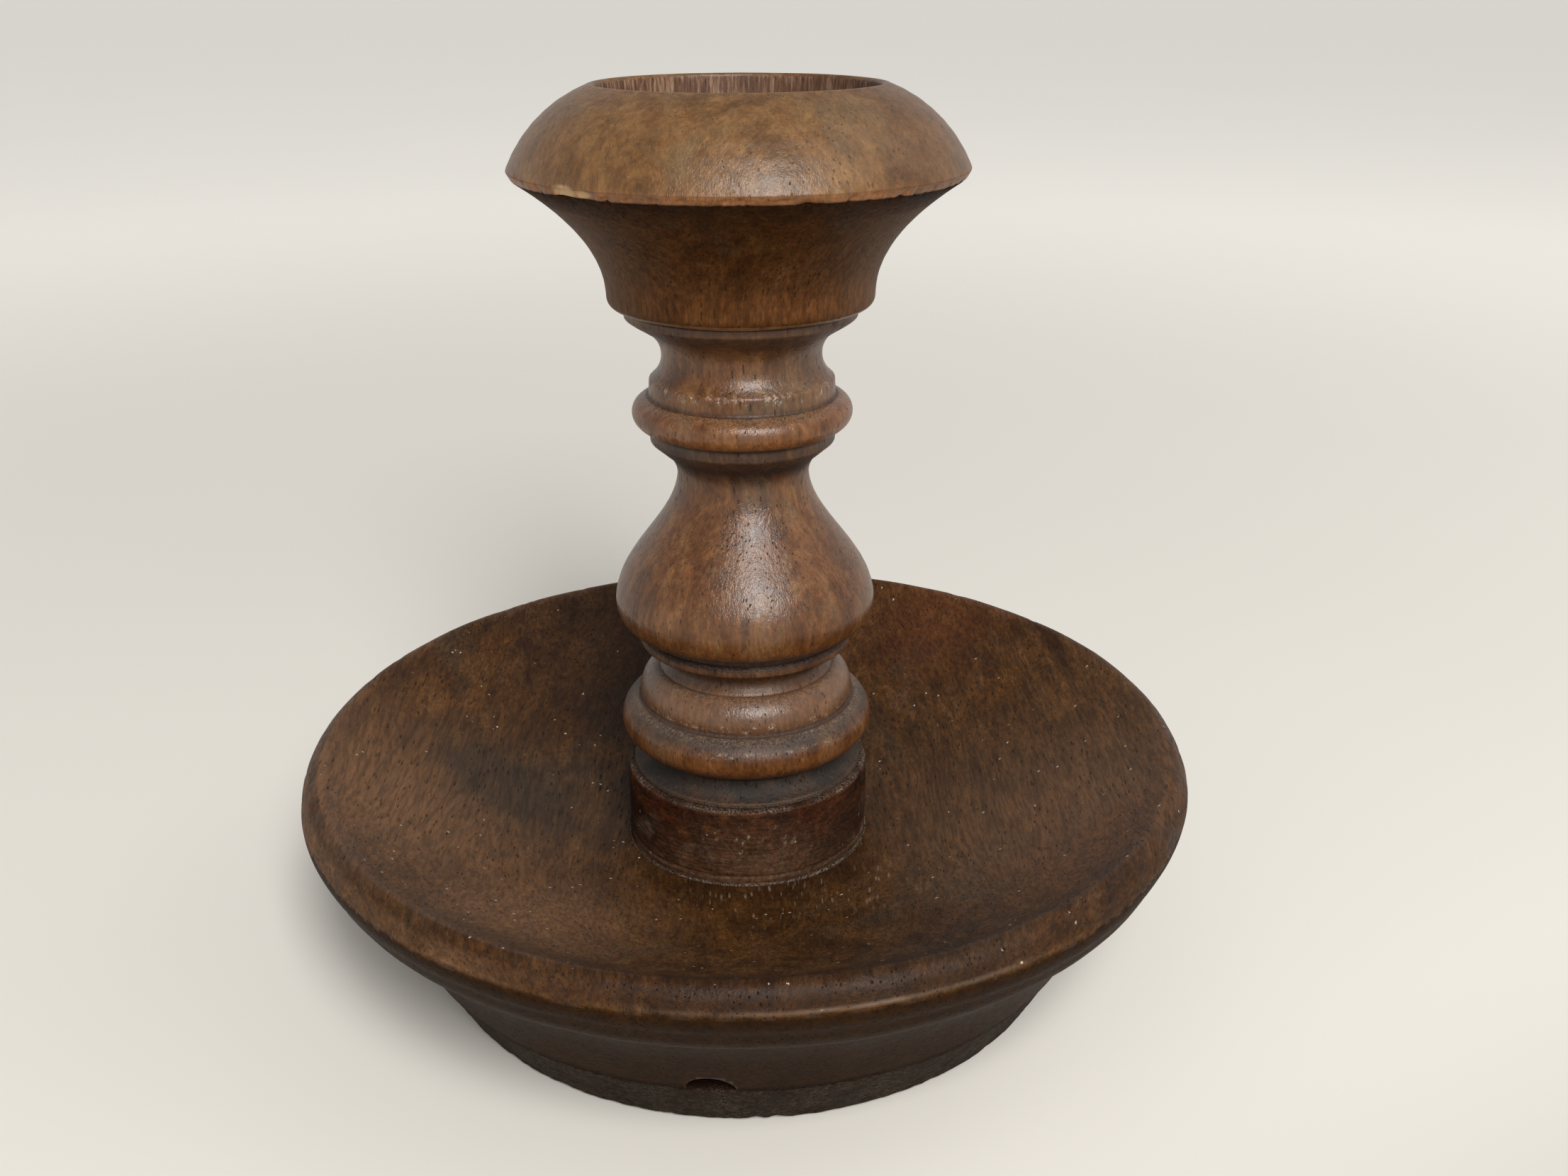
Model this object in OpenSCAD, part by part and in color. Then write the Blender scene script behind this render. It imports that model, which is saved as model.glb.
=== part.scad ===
// Turned wooden candlestick: a candle cup on a baluster stem, standing in a deep drip dish.
// Millimetres, +Z up, origin on the table at the centre of the foot, front towards -Y.
// Every turned piece is one closed outline in (radius, height), revolved about the Z axis.

/* [Overall] */
// Height from the table to the top of the candle cup
total_h = 196.5; // [196:0.5:215]

/* [Drip dish] */
// Diameter of the dish over its rounded lip
dish_d = 203; // [197:1:225]
// Height of the widest line of the lip above the table
lip_z = 46.5; // [44:0.5:50]
// Radius of the rounded outer side of the lip
lip_r = 6.5; // [4:0.5:8]
// Radius of the tighter crest of the lip
crest_r = 2; // [1:0.25:3]
// Diameter of the lower edge of the skirt
skirt_d = 161.5; // [156:0.5:170]
// Height of the bowl's floor where it meets the hub
bowl_floor_z = 26; // [24:0.5:28]
// Width of the half-round cord notch in the skirt's lower edge
notch_w = 10; // [6:0.5:12]
// Turn of the cord notch from the front, clockwise from above
notch_turn = 5.6; // [0:0.1:90]

/* [Foot ring] */
// Height of the foot ring
foot_h = 13; // [8:0.5:14]
// Diameter of the foot ring where it stands on the table
foot_d = 145; // [135:1:150]
// Diameter of the opening inside the foot ring
foot_inner_d = 116; // [90:1:124]

/* [Hub] */
// Diameter of the plain hub in the middle of the dish
hub_d = 56; // [54:0.5:60]
// Height of the top of the hub above the table
hub_top_z = 45; // [42:0.5:45.5]
// Depth that the hub is let into the floor of the dish
hub_recess = 2; // [1:0.5:3]

/* [Candle cup] */
// Diameter of the cup at its sharp widest line
collar_d = 94; // [92:1:102]
// Height of the candle cup
cup_h = 44.5; // [42:0.5:45]
// Diameter of the bore that takes the candle
bore_d = 57.5; // [40:0.5:59]
// Depth of the bore that takes the candle
bore_depth = 25; // [15:1:27]

/* [Stem] */
// Greatest diameter of the bulb
bulb_d = 58.4; // [54:0.2:62]
// Diameter of the narrow neck above the bulb
neck_d = 28.8; // [26:0.2:32]
// Diameter of the ring moulding between the two necks
ring_d = 47.8; // [45:0.2:52]
// Diameter of the tenon that enters the hub and the dish
foot_tenon_d = 25; // [22:0.5:30]
// Diameter of the tenon that enters the candle cup
cup_tenon_d = 20; // [16:0.5:24]

/* [Fastening] */
// Outer diameter of the screw's thread
screw_d = 5.5; // [4:0.5:7]
// Length of the screw below its head
screw_len = 45; // [35:1:60]
// Diameter of the washer
washer_d = 22; // [18:1:26]

/* [Hidden] */

$fn = 96;
arc_step = 8;        // degrees between the points of an arc
glue_gap = 0.5;      // room left at the blind end of a tenon's socket
slack = 0.1;         // radial room between a tenon and its socket

dish_r = dish_d / 2;
hub_r = hub_d / 2;
collar_r = collar_d / 2;
bore_r = bore_d / 2;
bulb_r = bulb_d / 2;
neck_r = neck_d / 2;
ring_r = ring_d / 2;

stem_top_z = total_h - cup_h;
hub_base_z = bowl_floor_z - hub_recess;
web = 6.5;                            // wood left under the stem's tenon
tenon_end_z = foot_h + web + glue_gap;
cup_tenon_len = 14;

washer_t = 1.5;
washer_hole_d = screw_d + 0.5;
head_d = 2 * screw_d;
head_h = 3.2;
screw_core_d = 0.7 * screw_d;

// Points along a round or oval arc about (r, z), from one angle to another
function oval(r, z, half_w, half_h, from, to) =
    let (steps = max(2, ceil(abs(to - from) / arc_step)))
    [for (i = [0:steps])
        let (a = from + (to - from) * i / steps)
        [r + half_w * cos(a), z + half_h * sin(a)]];

function arc(r, z, radius, from, to) = oval(r, z, radius, radius, from, to);

// Points along an S, a cosine mixed with a share of a straight line, without its two end points
function swell(r0, z0, r1, z1, straight, steps) =
    [for (i = [1:steps - 1])
        let (t = i / steps)
        [r0 + (r1 - r0) * ((1 - straight) * (1 - cos(180 * t)) / 2 + straight * t), z0 + (z1 - z0) * t]];

// Points along an arc that leaves (r0, z0) at slope_0 and ends at slope_1, without its first point
function rising_arc(r0, z0, reach, slope_0, slope_1, steps) =
    let (radius = reach / (sin(slope_1) - sin(slope_0)))
    [for (i = [1:steps])
        let (a = slope_0 + (slope_1 - slope_0) * i / steps)
        [r0 + radius * (sin(a) - sin(slope_0)), z0 + radius * (cos(slope_0) - cos(a))]];

// Candle cup: a collar with a rounded top, a sharp widest line and a deep cove below it
module candle_cup() {
    arris_z = total_h - 16.2;         // the sharp widest line
    foot_r = 28.2;                    // radius of the cup's foot, where the cove begins
    foot_round = 2.4;
    cove_z = stem_top_z + 2;
    edge_h = 1.6;                     // height of the narrow edge between the widest line and the cove
    cove_rise = arris_z - edge_h - cove_z;
    cove_reach = collar_r - 0.7 - foot_r;
    cove_steps = 14;
    crown_radius = 29.1;
    lip_round = 0.9;
    color("#8a5f3c")
    difference() {
        rotate_extrude()
            polygon(concat(
                [[0, stem_top_z], [foot_r - foot_round - 0.3, stem_top_z]],
                arc(foot_r - foot_round, stem_top_z + foot_round, foot_round, -80, 0),
                [for (i = [1:cove_steps])
                    let (t = i / cove_steps)
                    [foot_r + cove_reach * pow(t, 2.1), cove_z + cove_rise * t]],
                arc(collar_r - 26.6, arris_z - 11.4, crown_radius, 23, 64),
                arc(bore_r + lip_round, total_h - lip_round, lip_round, 70, 180),
                [[bore_r, total_h - bore_depth], [0, total_h - bore_depth]]
            ));
        translate([0, 0, stem_top_z - 1])
            cylinder(d = cup_tenon_d + 2 * slack, h = cup_tenon_len + glue_gap + 1);
    }
}

// Stem: fillet, upper neck, ring, lower neck, bulb, shoulder, torus and cove, with a tenon at each end
module stem() {
    upper_z = stem_top_z - 10.3;      // middle of the upper neck
    ring_z = stem_top_z - 22.8;       // middle of the ring moulding
    lower_z = stem_top_z - 36.7;      // middle of the lower neck
    bulb_z = stem_top_z - 65.6;       // widest line of the bulb
    quirk_z = bulb_z - 6.2;           // flat underside of the bulb
    shoulder_z = hub_top_z + 18;      // lower edge of the sloping shoulder
    torus_z = hub_top_z + 11.7;       // middle of the torus
    ring_body_r = ring_r - 4.2;
    torus_r = 28.9;
    color("#855636")
    difference() {
        rotate_extrude()
            polygon(concat(
                [[0, tenon_end_z], [foot_tenon_d / 2, tenon_end_z], [foot_tenon_d / 2, hub_top_z]],
                [[26.6, hub_top_z], [26.6, hub_top_z + 1]],
                arc(27.3, hub_top_z + 5.6, 4.5, 258, 180),
                arc(torus_r - 5.1, torus_z, 5.1, -84, 84),
                [[24.3, shoulder_z - 1.2]],
                arc(17.6, shoulder_z + 0.2, 6.9, 0, 60),
                [[19.6, shoulder_z + 6.4]],
                oval(23.5, shoulder_z + 9, 5, 3.6, 220, 110),
                [[24, shoulder_z + 12.8], [24, shoulder_z + 14.6]],
                [[22.8, shoulder_z + 15.2], [22.8, quirk_z]],
                oval(bulb_r - 4.2, bulb_z, 4.2, 6.2, -84, 0),
                swell(bulb_r, bulb_z, neck_r, lower_z, 0.14, 22),
                arc(neck_r + 6, lower_z, 6, 180, 125),
                [[ring_body_r + 0.4, lower_z + 7.6], [ring_body_r + 0.6, ring_z - 3.8]],
                oval(ring_body_r, ring_z, 4.2, 3.6, -80, 80),
                [[ring_body_r + 0.5, ring_z + 3.8], [ring_body_r + 0.3, ring_z + 7]],
                arc(ring_body_r + 3.7, upper_z, 6.2, 236, 120),
                [[24.3, stem_top_z - 2.4], [24.8, stem_top_z - 2], [24.8, stem_top_z - 0.4]],
                [[24.4, stem_top_z], [cup_tenon_d / 2, stem_top_z]],
                [[cup_tenon_d / 2, stem_top_z + cup_tenon_len], [0, stem_top_z + cup_tenon_len]]
            ));
        translate([0, 0, tenon_end_z - 1])
            cylinder(d = screw_core_d, h = screw_len - web + 2);
    }
}

// Hub: a plain ring with softened edges and one shallow turned line near its foot
module hub() {
    line_z = bowl_floor_z + 2.2;
    line_depth = 0.35;
    edge = 0.8;
    color("#5a2f20")
    difference() {
        rotate_extrude()
            polygon(concat(
                [[0, hub_base_z], [hub_r, hub_base_z]],
                [[hub_r, line_z - 0.4], [hub_r - line_depth, line_z], [hub_r, line_z + 0.4]],
                arc(hub_r - edge, hub_top_z - edge, edge, 0, 90),
                [[0, hub_top_z]]
            ));
        translate([0, 0, hub_base_z - 1])
            cylinder(d = foot_tenon_d + 2 * slack, h = hub_top_z - hub_base_z + 2);
    }
}

// Drip dish: concave bowl, rounded lip, small step under the lip and a hollow skirt down to the foot ring
module drip_dish() {
    lip_centre_r = dish_r - lip_r;
    inner_slope = 33;
    floor_slope = 9;
    crest_turn = 57;                  // where the outer side of the lip runs over into the crest
    crest_centre_r = lip_centre_r + (lip_r - crest_r) * cos(crest_turn);
    crest_centre_z = lip_z + (lip_r - crest_r) * sin(crest_turn);
    crest_start_r = crest_centre_r - crest_r * sin(inner_slope);
    crest_start_z = crest_centre_z + crest_r * cos(inner_slope);
    floor_r = hub_r + slack;
    reach = crest_start_r - floor_r;
    skirt_r = skirt_d / 2;
    step_r = dish_r - 4.6;
    step_z = lip_z - 10;
    skirt_bow = 1.6;                  // how far the skirt is hollowed between its two edges
    notch_reach = 8;                  // how far the notch's cut runs past the skirt's lower edge
    notch_len = 35;
    // The floor's arc is laid first and then stretched in height to meet the lip's crest
    floor_steps = 12;
    floor_arc = rising_arc(floor_r, 0, reach, floor_slope, inner_slope, floor_steps);
    rise = (crest_start_z - bowl_floor_z) / floor_arc[floor_steps - 1][1];
    color("#6e4630")
    difference() {
        rotate_extrude()
            polygon(concat(
                [[0, foot_h], [skirt_r - 0.4, foot_h], [skirt_r, foot_h + 0.4]],
                [for (t = [0.125:0.125:0.875])
                    [skirt_r + (step_r - 1 - skirt_r) * t - 0.8 * skirt_bow * sin(180 * t),
                     foot_h + 0.4 + (step_z - foot_h - 0.4) * t + 0.6 * skirt_bow * sin(180 * t)]],
                [[step_r - 1, step_z], [step_r, step_z + 0.2]],
                [[step_r + 1.7, step_z + 2.6]],
                arc(lip_centre_r, lip_z, lip_r, -38, crest_turn - 4),
                arc(crest_centre_r, crest_centre_z, crest_r, crest_turn + 4, 90 + inner_slope),
                [for (i = [floor_steps - 2:-1:0]) [floor_arc[i][0], bowl_floor_z + floor_arc[i][1] * rise]],
                [[floor_r, bowl_floor_z], [floor_r, hub_base_z], [0, hub_base_z]]
            ));
        translate([0, 0, foot_h + web])
            cylinder(d = foot_tenon_d + 2 * slack, h = 10);
        translate([0, 0, foot_h - 1])
            cylinder(d = washer_hole_d, h = web + 2);
        rotate([0, 0, -90 - notch_turn])
            translate([skirt_r + notch_reach - notch_len, 0, foot_h])
                rotate([0, 90, 0])
                    cylinder(d = notch_w, h = notch_len);
    }
}

// Foot ring: a rough ring under the skirt, flaring upwards, with a softened lower edge
module foot_ring() {
    foot_r = foot_d / 2;
    top_r = skirt_d / 2 - 0.6;
    edge = 2.2;
    color("#4c3a2e")
    rotate_extrude()
        polygon(concat(
            [[foot_inner_d / 2, 0], [foot_r, 0]],
            arc(foot_r - 0.1, edge, edge, -60, -15),
            [[top_r, foot_h], [foot_inner_d / 2, foot_h]]
        ));
}

// Washer under the head of the stem's screw
module screw_washer() {
    color("#8c8c88")
    translate([0, 0, foot_h - washer_t])
        difference() {
            cylinder(d = washer_d, h = washer_t);
            translate([0, 0, -1])
                cylinder(d = washer_hole_d, h = washer_t + 2);
        }
}

// Screw that draws the stem down into the dish, driven from below
module stem_screw() {
    head_z = foot_h - washer_t;
    core_r = screw_core_d / 2 - 0.05; // a hair under the pilot hole in the stem
    point_len = 6;
    slot_w = 1.2;
    color("#77777a")
    difference() {
        rotate_extrude()
            polygon(concat(
                [[0, head_z - head_h], [head_d * 0.3, head_z - head_h]],
                arc(head_d / 2 - 1.6, head_z - head_h + 1.6, 1.6, -75, 0),
                [[head_d / 2, head_z], [screw_d / 2, head_z]],
                [[screw_d / 2, head_z + washer_t + web], [core_r, head_z + washer_t + web + glue_gap]],
                [[core_r, head_z + screw_len - point_len], [0, head_z + screw_len]]
            ));
        for (turn = [0, 90])
            rotate([0, 0, turn])
                translate([-head_d * 0.27, -slot_w / 2, head_z - head_h - 1])
                    cube([head_d * 0.54, slot_w, 2.8]);
    }
}

candle_cup();
stem();
hub();
drip_dish();
foot_ring();
stem_screw();
screw_washer();
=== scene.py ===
import math

import bmesh
import bpy
import numpy as np
from mathutils import Matrix, Vector


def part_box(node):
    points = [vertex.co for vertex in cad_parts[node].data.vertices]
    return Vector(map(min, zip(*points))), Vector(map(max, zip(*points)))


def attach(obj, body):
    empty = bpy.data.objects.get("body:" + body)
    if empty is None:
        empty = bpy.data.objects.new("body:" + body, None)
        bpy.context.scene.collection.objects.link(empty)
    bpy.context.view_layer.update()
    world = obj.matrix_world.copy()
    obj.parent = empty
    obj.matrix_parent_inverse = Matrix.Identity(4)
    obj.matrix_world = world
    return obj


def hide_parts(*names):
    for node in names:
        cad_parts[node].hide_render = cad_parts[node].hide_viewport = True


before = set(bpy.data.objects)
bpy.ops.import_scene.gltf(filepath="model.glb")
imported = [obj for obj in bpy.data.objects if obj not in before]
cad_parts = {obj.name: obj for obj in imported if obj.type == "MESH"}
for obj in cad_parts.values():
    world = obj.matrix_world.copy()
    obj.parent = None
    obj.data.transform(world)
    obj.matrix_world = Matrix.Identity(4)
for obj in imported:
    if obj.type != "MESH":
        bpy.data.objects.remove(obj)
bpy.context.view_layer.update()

MM = 0.001
MM_PER_M = (1000, 1000, 1000)
WOOD_NODES = ["candle_cup", "stem", "hub", "drip_dish", "foot_ring"]
NODE_MESH = {n: o.data for n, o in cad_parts.items()}

STEP = 0.1             # mm between the points of a dense outline
CUT_TURN = 63.7        # degrees: the outlines' half plane, clear of the notch and of the mesh's own edges
SNAP = 0.25            # mm: a cut point this close to a corner of the mesh moves onto it
SAME = 0.02            # mm: points closer than this are one
SHELTER_REACH = 9.0    # mm: how far a point looks for what shelters it
SHELTER_FAN = 75       # degrees to each side of the normal
BURIED = 0.97          # shelter above this is inside another piece
BURIED_GAP = 1.6       # mm between mesh rows there


# ---------------------------------------------------------------- seeded noise for the meshes

def lattice(i, j, k, seed):
    """A fixed value from -1 to 1 for each whole-numbered point of a lattice."""
    h = (i * 374761393 + j * 668265263 + k * 1442695041 + seed * 974711) & 0xFFFFFFFF
    h = ((h ^ (h >> 13)) * 1274126177) & 0xFFFFFFFF
    return ((h ^ (h >> 16)) & 0xFFFF) / 32767.5 - 1


def noise(p, size, seed, octaves=1):
    """Smooth noise from about -1 to 1 at the points p, with lumps of that size."""
    total = np.zeros(len(p))
    weight = 1.0
    q = p / size
    for octave in range(octaves):
        cell = np.floor(q).astype(np.int64)
        f = q - cell
        f = f * f * (3 - 2 * f)
        value = np.zeros(len(p))
        for a in (0, 1):
            for b in (0, 1):
                for c in (0, 1):
                    w = np.abs(1 - a - f[:, 0]) * np.abs(1 - b - f[:, 1]) * np.abs(1 - c - f[:, 2])
                    value += w * lattice(cell[:, 0] + a, cell[:, 1] + b, cell[:, 2] + c, seed + octave)
        total += weight * value
        weight *= 0.5
        q = q * 2.03 + 7.1
    return total


def ramp(x, low, high):
    """Rises smoothly from 0 at low to 1 at high."""
    t = np.clip((x - low) / (high - low), 0, 1)
    return t * t * (3 - 2 * t)


# ---------------------------------------------------------------- outlines, cut from the CAD nodes

def outline(node):
    """The node's outline in (radius, height), in mm, in order. It is cut from the CAD mesh by a
    half plane through the axis, and its points are moved onto the mesh's own corners."""
    bm = bmesh.new()
    bm.from_mesh(NODE_MESH[node])
    bmesh.ops.remove_doubles(bm, verts=bm.verts, dist=1e-7)
    co = np.array([v.co for v in bm.verts]) / MM
    corners = np.unique(np.round(np.c_[np.hypot(co[:, 0], co[:, 1]), co[:, 2]], 3), axis=0)
    turn = math.radians(CUT_TURN)
    out = np.array([math.cos(turn), math.sin(turn)])
    cut = bmesh.ops.bisect_plane(bm, geom=bm.verts[:] + bm.edges[:] + bm.faces[:], dist=1e-9,
                                 plane_co=(0, 0, 0), plane_no=(-out[1], out[0], 0))
    segments = []
    for e in cut["geom_cut"]:
        if isinstance(e, bmesh.types.BMEdge):
            a, b = [np.array([(v.co.x * out[0] + v.co.y * out[1]) / MM, v.co.z / MM]) for v in e.verts]
            if a[0] < 0 and b[0] < 0:
                continue
            if a[0] * b[0] < 0:
                t = a[0] / (a[0] - b[0])
                mid = a + (b - a) * t
                a, b = (mid, b) if a[0] < 0 else (a, mid)
            if np.hypot(*(a - b)) > 1e-5:
                segments.append((a, b))
    bm.free()
    chain = [segments[0][0], segments[0][1]]
    left = segments[1:]
    if any(a[0] < 1e-6 or b[0] < 1e-6 for a, b in segments):
        start = next(s for s in segments if s[0][0] < 1e-6 or s[1][0] < 1e-6)
        left = [s for s in segments if s is not start]
        chain = list(start) if start[0][0] < 1e-6 else [start[1], start[0]]
    while left:
        gaps = [min(np.hypot(*(s[0] - chain[-1])), np.hypot(*(s[1] - chain[-1]))) for s in left]
        k = int(np.argmin(gaps))
        if gaps[k] > 0.01:
            break
        a, b = left.pop(k)
        chain.append(b if np.hypot(*(a - chain[-1])) < 0.01 else a)
    points = []
    for p in chain:
        d = np.hypot(*(corners - p).T)
        q = corners[d.argmin()] if d.min() < SNAP and p[0] > 1e-6 else p
        if not points or np.hypot(*(q - points[-1])) > SAME:
            points.append(q)
    points = np.array(points)
    closed = points[0][0] > 0.01
    if closed and np.hypot(*(points[0] - points[-1])) < SAME:
        points = points[:-1]
    loop = points if closed else np.r_[points, [[0, points[0][1]]]]
    nxt = np.roll(loop, -1, axis=0)
    if np.sum(loop[:, 0] * nxt[:, 1] - nxt[:, 0] * loop[:, 1]) < 0:
        points = points[::-1]
    return points, closed


def merge_straight(points, closed, least_turn=0.004):
    """Drops points that lie on a straight line between their neighbours."""
    keep = []
    n = len(points)
    for i in range(n):
        if not closed and i in (0, n - 1):
            keep.append(points[i])
            continue
        a, b, c = points[i - 1], points[i], points[(i + 1) % n]
        u, v = b - a, c - b
        turn = abs(math.atan2(u[0] * v[1] - u[1] * v[0], u @ v))
        if turn > least_turn:
            keep.append(b)
    return np.array(keep)


def smooth_curve(points, closed, sharp_angle=20):
    """A dense curve through the points: smooth where they turn gently, with its sharp corners kept."""
    if closed:
        points = np.r_[points, points[:1]]
    u = np.diff(points, axis=0)
    length = np.hypot(*u.T)
    u = u / length[:, None]
    m = len(points)
    tangent_in, tangent_out = np.zeros((m, 2)), np.zeros((m, 2))
    for i in range(m):
        a = u[i - 1] if i > 0 else (u[-1] if closed else u[0])
        b = u[i] if i < m - 1 else (u[0] if closed else u[-1])
        la = length[i - 1] if i > 0 else length[-1]
        lb = length[i] if i < m - 1 else length[0]
        turn = math.degrees(abs(math.atan2(a[0] * b[1] - a[1] * b[0], a @ b)))
        if turn > sharp_angle:
            tangent_in[i], tangent_out[i] = a, b
        else:
            t = a * lb + b * la
            tangent_in[i] = tangent_out[i] = t / np.hypot(*t)
    dense = []
    for i in range(m - 1):
        k = max(2, int(round(length[i] / STEP)))
        t = np.arange(k)[:, None] / k
        p, q = points[i], points[i + 1]
        a, b = tangent_out[i] * length[i], tangent_in[i + 1] * length[i]
        dense.append((2 * t**3 - 3 * t**2 + 1) * p + (t**3 - 2 * t**2 + t) * a
                     + (3 * t**2 - 2 * t**3) * q + (t**3 - t**2) * b)
    dense = np.concatenate(dense + [points[-1:]])
    s = np.r_[0, np.cumsum(np.hypot(*np.diff(dense, axis=0).T))]
    even = np.linspace(0, s[-1], int(s[-1] / STEP) + 1)
    curve = np.c_[np.interp(even, s, dense[:, 0]), np.interp(even, s, dense[:, 1])]
    return curve[:-1] if closed else curve


def blur(values, closed, sigma):
    """Gaussian blur along the curve. The ends of an open curve stay where they are."""
    k = int(4 * sigma / STEP) + 1
    kernel = np.exp(-0.5 * (np.arange(-k, k + 1) * STEP / sigma) ** 2)
    kernel /= kernel.sum()
    v = values.reshape(len(values), -1)
    if closed:
        padded = np.r_[v[-k:], v, v[:k]]
    else:
        padded = np.r_[2 * v[:1] - v[k:0:-1], v, 2 * v[-1:] - v[-2:-k - 2:-1]]
    out = np.stack([np.convolve(padded[:, c], kernel, "valid") for c in range(v.shape[1])], 1)
    return out.reshape(values.shape)


def normals_of(curve, closed):
    """The outline's outward unit normals."""
    if closed:
        d = np.roll(curve, -1, axis=0) - np.roll(curve, 1, axis=0)
    else:
        d = np.gradient(curve, axis=0)
    d = d / np.maximum(np.hypot(*d.T), 1e-9)[:, None]
    return np.c_[d[:, 1], -d[:, 0]]


def bend_of(curve, closed, reach):
    """Turn per mm, blurred over that reach: positive on rounded edges, negative in hollows."""
    n = normals_of(curve, closed)
    if closed:
        d = (np.roll(n, -1, axis=0) - np.roll(n, 1, axis=0)) / (2 * STEP)
    else:
        d = np.gradient(n, axis=0) / STEP
    t = np.c_[-n[:, 1], n[:, 0]]
    return blur(np.sum(d * t, axis=1), closed, reach)


def inside(points, loop):
    """Which points lie inside the closed outline."""
    a, b = loop, np.roll(loop, -1, axis=0)
    x, y = points[:, :1], points[:, 1:]
    crosses = (a[:, 1] > y) != (b[:, 1] > y)
    at = a[:, 0] + (y - a[:, 1]) / np.where(b[:, 1] == a[:, 1], 1e-9, b[:, 1] - a[:, 1]) * (b[:, 0] - a[:, 0])
    return (np.sum(crosses & (x < at), axis=1) % 2) == 1


def shelter_of(curve, normals, node, lift=0.04, rays=15):
    """How much of what a point of the outline faces is blocked within reach, from 0 to 1."""
    reach = SHELTER_REACH
    fan = np.linspace(-SHELTER_FAN, SHELTER_FAN, rays)
    start = curve + normals * lift
    buried = np.zeros(len(curve), bool)
    for other, loop in LOOPS.items():
        if other != node:
            buried |= inside(start, loop)
    hit = np.zeros(len(curve))
    seg_a = np.concatenate(list(LOOPS.values()))
    seg_b = np.concatenate([np.roll(loop, -1, axis=0) for loop in LOOPS.values()])
    d = seg_b - seg_a
    for angle in fan:
        c, s = math.cos(math.radians(angle)), math.sin(math.radians(angle))
        ray = np.c_[normals[:, 0] * c - normals[:, 1] * s, normals[:, 0] * s + normals[:, 1] * c]
        w = seg_a[None] - start[:, None]
        cross = ray[:, None, 0] * d[None, :, 1] - ray[:, None, 1] * d[None, :, 0]
        cross = np.where(np.abs(cross) < 1e-9, 1e-9, cross)
        t = (w[..., 0] * d[None, :, 1] - w[..., 1] * d[None, :, 0]) / cross
        v = (w[..., 0] * ray[:, None, 1] - w[..., 1] * ray[:, None, 0]) / cross
        first = np.where((t > 0.01) & (t < reach) & (v >= 0) & (v <= 1), t, reach).min(axis=1)
        hit += (1 - first / reach) * c
    hit /= sum(math.cos(math.radians(a)) for a in fan)
    return np.where(buried, 1.0, hit)


OUTLINES = {}    # each node's outline, and whether it closes on itself away from the axis
LOOPS = {}       # the same outlines as closed loops, run along the axis where they need it
for n in WOOD_NODES:
    points, closed = outline(n)
    OUTLINES[n] = (merge_straight(points, closed), closed)
    LOOPS[n] = points if closed else np.r_[points, [[0, points[-1][1]], [0, points[0][1]]]]


# ---------------------------------------------------------------- turned pieces

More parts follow.
